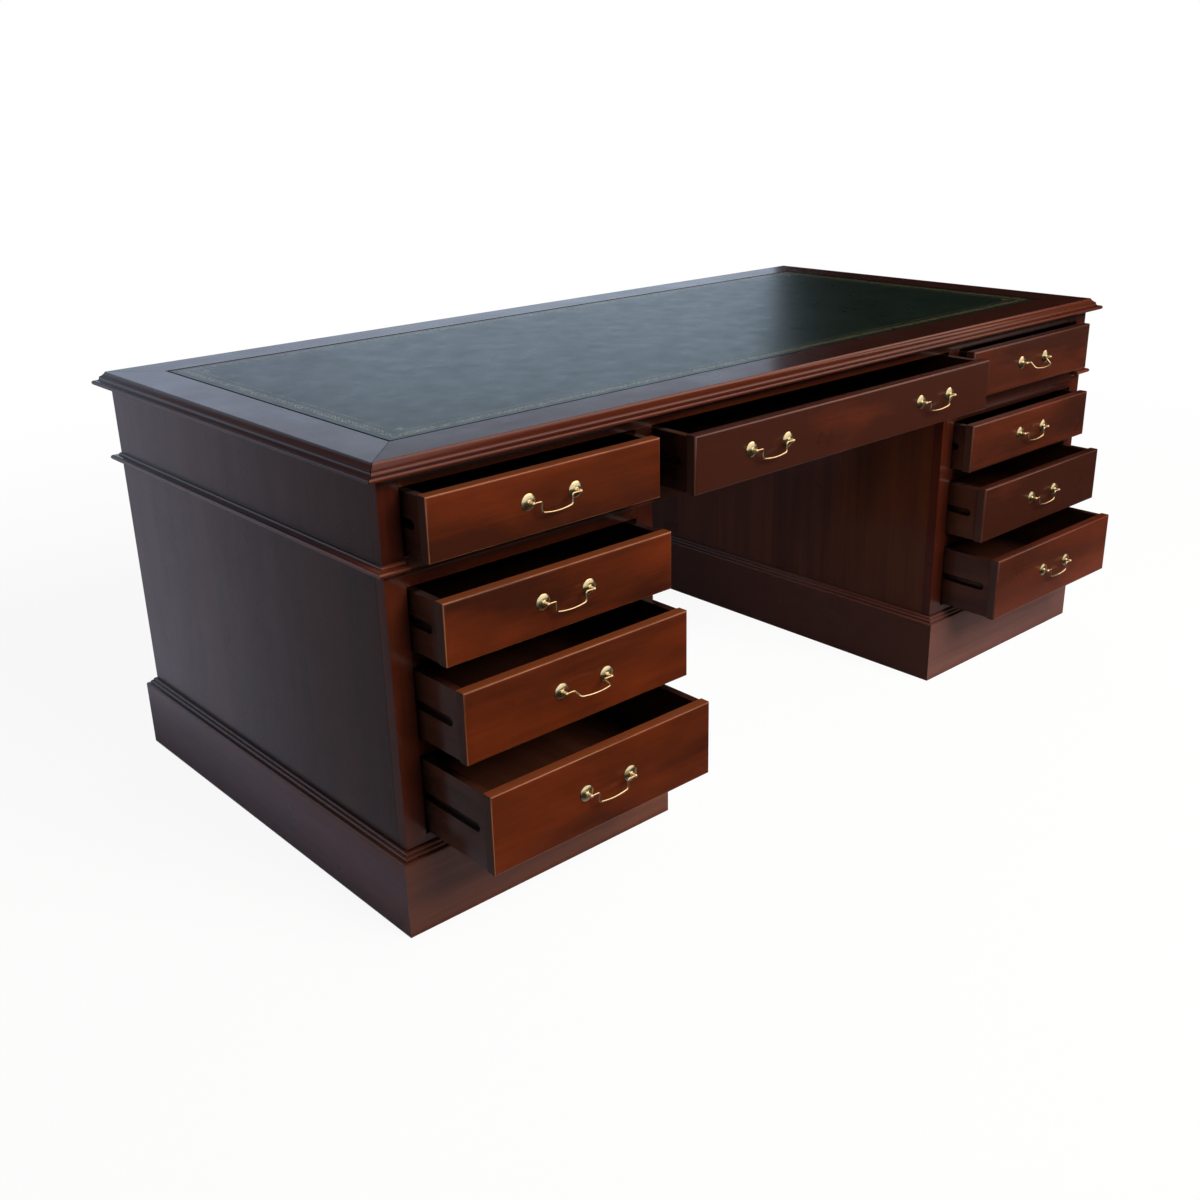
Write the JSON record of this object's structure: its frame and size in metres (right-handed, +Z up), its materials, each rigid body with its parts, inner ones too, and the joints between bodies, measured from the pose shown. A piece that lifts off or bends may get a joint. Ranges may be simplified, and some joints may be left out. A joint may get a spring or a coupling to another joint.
{
  "type": "pedestal desk",
  "caption": "Wooden pedestal desk with a moulded, leather-inlaid top over frieze drawers, drawer pedestals on plinths, sliding drawers and swinging brass bail handles.",
  "frame": {"origin": "on the floor, under the middle of the desk's box with its drawers part open as in the picture", "axes": "+X along the desk's length to the sitter's right, the drawers open towards -Y, +Z up"},
  "size_m": [1.98, 1.133, 0.78],
  "materials": {
    "mahogany": "gloss lacquer",
    "drawer_wood": "satin lacquer",
    "runner_wood": "planed and waxed",
    "green_leather": "polished hide",
    "brass": "polished"
  },
  "bodies": {
    "carcass": {"top_border": "mahogany", "top_panel": "mahogany", "leather_insert": "green_leather", "frieze_ends": "mahogany", "frieze_back": "mahogany", "frieze_dividers": "mahogany", "frieze_bottom": "mahogany", "frieze_front_frame": "mahogany", "waist_moulding": "mahogany", "drawer_runners": "runner_wood", "locating_dowels": "runner_wood", "left_pedestal_outer_side": "mahogany", "left_pedestal_inner_side": "mahogany", "left_pedestal_back": "mahogany", "left_pedestal_boards": "mahogany", "left_pedestal_front_frame": "mahogany", "left_plinth": "mahogany", "right_pedestal_outer_side": "mahogany", "right_pedestal_inner_side": "mahogany", "right_pedestal_back": "mahogany", "right_pedestal_boards": "mahogany", "right_pedestal_front_frame": "mahogany", "right_plinth": "mahogany"},
    "left_top_drawer": {"left_top_drawer_front": "mahogany", "left_top_drawer_box": "drawer_wood", "left_top_drawer_handle_posts": "brass"},
    "left_top_drawer_bail": {"left_top_drawer_bail": "brass"},
    "left_upper_drawer": {"left_upper_drawer_front": "mahogany", "left_upper_drawer_box": "drawer_wood", "left_upper_drawer_handle_posts": "brass"},
    "left_upper_drawer_bail": {"left_upper_drawer_bail": "brass"},
    "left_middle_drawer": {"left_middle_drawer_front": "mahogany", "left_middle_drawer_box": "drawer_wood", "left_middle_drawer_handle_posts": "brass"},
    "left_middle_drawer_bail": {"left_middle_drawer_bail": "brass"},
    "left_lower_drawer": {"left_lower_drawer_front": "mahogany", "left_lower_drawer_box": "drawer_wood", "left_lower_drawer_handle_posts": "brass"},
    "left_lower_drawer_bail": {"left_lower_drawer_bail": "brass"},
    "centre_drawer": {"centre_drawer_front": "mahogany", "centre_drawer_box": "drawer_wood", "centre_drawer_handle_posts": "brass"},
    "centre_drawer_left_bail": {"centre_drawer_left_bail": "brass"},
    "centre_drawer_right_bail": {"centre_drawer_right_bail": "brass"},
    "right_top_drawer": {"right_top_drawer_front": "mahogany", "right_top_drawer_box": "drawer_wood", "right_top_drawer_handle_posts": "brass"},
    "right_top_drawer_bail": {"right_top_drawer_bail": "brass"},
    "right_upper_drawer": {"right_upper_drawer_front": "mahogany", "right_upper_drawer_box": "drawer_wood", "right_upper_drawer_handle_posts": "brass"},
    "right_upper_drawer_bail": {"right_upper_drawer_bail": "brass"},
    "right_middle_drawer": {"right_middle_drawer_front": "mahogany", "right_middle_drawer_box": "drawer_wood", "right_middle_drawer_handle_posts": "brass"},
    "right_middle_drawer_bail": {"right_middle_drawer_bail": "brass"},
    "right_lower_drawer": {"right_lower_drawer_front": "mahogany", "right_lower_drawer_box": "drawer_wood", "right_lower_drawer_handle_posts": "brass"},
    "right_lower_drawer_bail": {"right_lower_drawer_bail": "brass"}
  },
  "joints": [
    {"name": "left_top_drawer_slide", "type": "slide", "parent": "carcass", "child": "left_top_drawer", "axis": [0, -1, 0], "range_m": [-0.0625, 0.3575]},
    {"name": "left_top_drawer_bail_swing", "type": "hinge", "parent": "left_top_drawer", "child": "left_top_drawer_bail", "pos_m": [-0.694, -0.4485, 0.684], "axis": [-1, 0, 0], "range_deg": [-25, 205]},
    {"name": "left_upper_drawer_slide", "type": "slide", "parent": "carcass", "child": "left_upper_drawer", "axis": [0, -1, 0], "range_m": [-0.088, 0.332]},
    {"name": "left_upper_drawer_bail_swing", "type": "hinge", "parent": "left_upper_drawer", "child": "left_upper_drawer_bail", "pos_m": [-0.694, -0.474, 0.53025], "axis": [-1, 0, 0], "range_deg": [-25, 205]},
    {"name": "left_middle_drawer_slide", "type": "slide", "parent": "carcass", "child": "left_middle_drawer", "axis": [0, -1, 0], "range_m": [-0.1245, 0.2955]},
    {"name": "left_middle_drawer_bail_swing", "type": "hinge", "parent": "left_middle_drawer", "child": "left_middle_drawer_bail", "pos_m": [-0.694, -0.5105, 0.392], "axis": [-1, 0, 0], "range_deg": [-99, 131]},
    {"name": "left_lower_drawer_slide", "type": "slide", "parent": "carcass", "child": "left_lower_drawer", "axis": [0, -1, 0], "range_m": [-0.177, 0.243]},
    {"name": "left_lower_drawer_bail_swing", "type": "hinge", "parent": "left_lower_drawer", "child": "left_lower_drawer_bail", "pos_m": [-0.694, -0.563, 0.2345], "axis": [-1, 0, 0], "range_deg": [-25, 205]},
    {"name": "centre_drawer_slide", "type": "slide", "parent": "carcass", "child": "centre_drawer", "axis": [0, -1, 0], "range_m": [-0.0995, 0.3205]},
    {"name": "centre_drawer_left_bail_swing", "type": "hinge", "parent": "centre_drawer", "child": "centre_drawer_left_bail", "pos_m": [-0.24, -0.4855, 0.684], "axis": [-1, 0, 0], "range_deg": [-25, 205]},
    {"name": "centre_drawer_right_bail_swing", "type": "hinge", "parent": "centre_drawer", "child": "centre_drawer_right_bail", "pos_m": [0.24, -0.4855, 0.684], "axis": [-1, 0, 0], "range_deg": [-25, 205]},
    {"name": "right_top_drawer_slide", "type": "slide", "parent": "carcass", "child": "right_top_drawer", "axis": [0, -1, 0], "range_m": [-0.036, 0.384]},
    {"name": "right_top_drawer_bail_swing", "type": "hinge", "parent": "right_top_drawer", "child": "right_top_drawer_bail", "pos_m": [0.694, -0.422, 0.684], "axis": [-1, 0, 0], "range_deg": [-73, 157]},
    {"name": "right_upper_drawer_slide", "type": "slide", "parent": "carcass", "child": "right_upper_drawer", "axis": [0, -1, 0], "range_m": [-0.0475, 0.3725]},
    {"name": "right_upper_drawer_bail_swing", "type": "hinge", "parent": "right_upper_drawer", "child": "right_upper_drawer_bail", "pos_m": [0.694, -0.4335, 0.53025], "axis": [-1, 0, 0], "range_deg": [-25, 205]},
    {"name": "right_middle_drawer_slide", "type": "slide", "parent": "carcass", "child": "right_middle_drawer", "axis": [0, -1, 0], "range_m": [-0.09, 0.33]},
    {"name": "right_middle_drawer_bail_swing", "type": "hinge", "parent": "right_middle_drawer", "child": "right_middle_drawer_bail", "pos_m": [0.694, -0.476, 0.392], "axis": [-1, 0, 0], "range_deg": [-25, 205]},
    {"name": "right_lower_drawer_slide", "type": "slide", "parent": "carcass", "child": "right_lower_drawer", "axis": [0, -1, 0], "range_m": [-0.1365, 0.2835]},
    {"name": "right_lower_drawer_bail_swing", "type": "hinge", "parent": "right_lower_drawer", "child": "right_lower_drawer_bail", "pos_m": [0.694, -0.5225, 0.2345], "axis": [-1, 0, 0], "range_deg": [-25, 205]}
  ]
}
